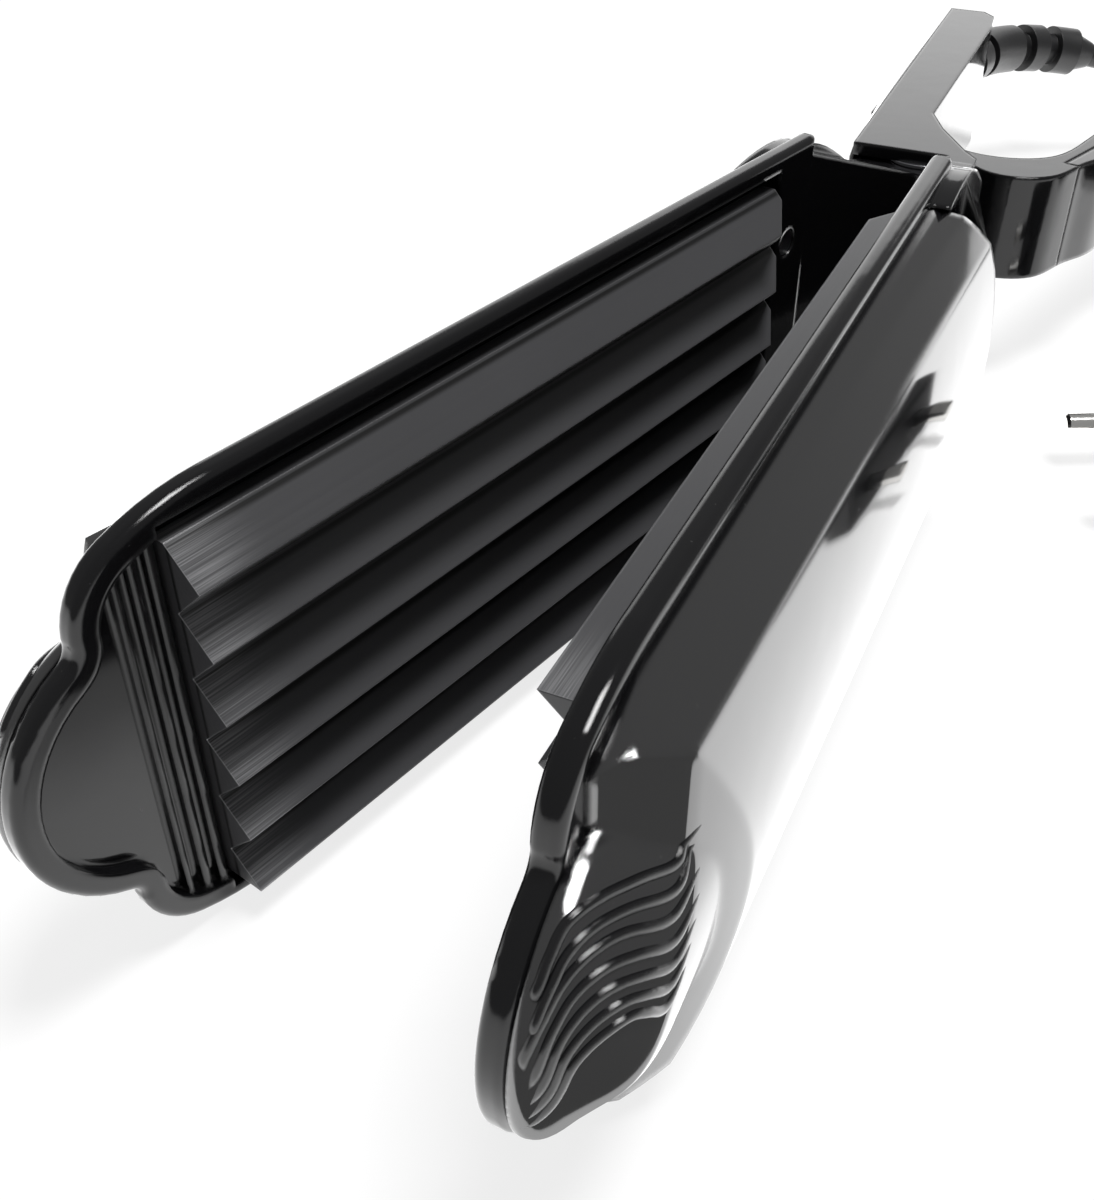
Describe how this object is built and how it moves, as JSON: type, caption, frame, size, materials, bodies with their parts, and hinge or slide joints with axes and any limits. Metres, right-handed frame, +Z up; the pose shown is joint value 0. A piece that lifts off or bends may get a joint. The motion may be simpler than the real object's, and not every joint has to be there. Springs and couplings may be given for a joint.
{
  "type": "hair crimper",
  "caption": "Crossed-arm hair crimping iron with deep ridged heating plates in wide jaws, a cord handle, a plain curved handle and a coiled cord with its plug, lying open on its side",
  "frame": {"origin": "centre of the bounding box of the tool without its cord, on the table", "axes": "+X from the handles to the noses of the jaws, +Y towards the jaw of the cord arm, +Z up from the table along the pivot axis"},
  "size_m": [0.3372, 0.2052, 0.0576],
  "materials": {
    "gloss_black": "polished black moulding",
    "plate_coat": "satin charcoal coat on aluminium, bare at the sawn ends",
    "heat_plastic": "matt glass-filled moulding",
    "heater_foil": "amber film over a ceramic strip",
    "spring_steel": "bright spring strip and wire",
    "screw_steel": "zinc-plated steel",
    "pin_steel": "turned steel",
    "fuse_metal": "drawn case",
    "lead_sleeve": "silicone sleeve",
    "switch_black": "fine matt",
    "lamp_clear": "clear red",
    "board_green": "lacquered board",
    "clamp_plastic": "natural grey moulding",
    "cord_rubber": "soft black moulding",
    "pin_nickel": "nickel plated brass",
    "sleeve_plastic": "moulded insulation"
  },
  "bodies": {
    "cord_arm": {"cord_arm_frame": "gloss_black", "cord_arm_jaw_cover": "gloss_black", "cord_arm_handle_cover": "gloss_black", "cord_arm_plate": "plate_coat", "cord_arm_plate_carrier": "heat_plastic", "cord_arm_heater": "heater_foil", "cord_arm_heater_clip": "spring_steel", "cord_arm_plate_screws": "screw_steel", "cord_arm_rim_screws": "screw_steel", "handle_screws": "screw_steel", "clamp_screws": "screw_steel", "pivot_washers": "screw_steel", "pivot_pin": "pin_steel", "cord_arm_thermal_fuse": "fuse_metal", "cord_arm_heater_leads": "lead_sleeve", "switch_leads": "lead_sleeve", "switch_body": "switch_black", "indicator_lens": "lamp_clear", "lamp_board": "board_green", "cord_clamp": "clamp_plastic", "strain_relief": "cord_rubber", "power_cord": "cord_rubber", "cord_coil": "cord_rubber", "plug_cord": "cord_rubber", "cord_stub": "cord_rubber", "plug_body": "cord_rubber", "plug_pins": "pin_nickel", "plug_sleeves": "sleeve_plastic"},
    "plain_arm": {"plain_arm_frame": "gloss_black", "plain_arm_jaw_cover": "gloss_black", "plain_arm_handle_cover": "gloss_black", "plain_arm_plate": "plate_coat", "plain_arm_plate_carrier": "heat_plastic", "plain_arm_heater": "heater_foil", "plain_arm_heater_clip": "spring_steel", "plain_arm_plate_screws": "screw_steel", "plain_arm_rim_screws": "screw_steel", "plain_arm_thermal_fuse": "fuse_metal", "plain_arm_heater_leads": "lead_sleeve", "handle_spring": "spring_steel"},
    "rocker": {"switch_rocker": "switch_black"}
  },
  "joints": [
    {"name": "arm_pivot", "type": "hinge", "parent": "cord_arm", "child": "plain_arm", "pos_m": [-0.05573, -0.00745, 0.0288], "axis": [0, 0, 1], "range_deg": [0, 13.84], "stiffness_Nm_per_rad": 0.6, "springref_deg": -20.05},
    {"name": "rocker_pivot", "type": "hinge", "parent": "cord_arm", "child": "rocker", "pos_m": [-0.09172, -0.02632, 0.0288], "axis": [0, 0, -1], "range_deg": [0, 12]}
  ]
}
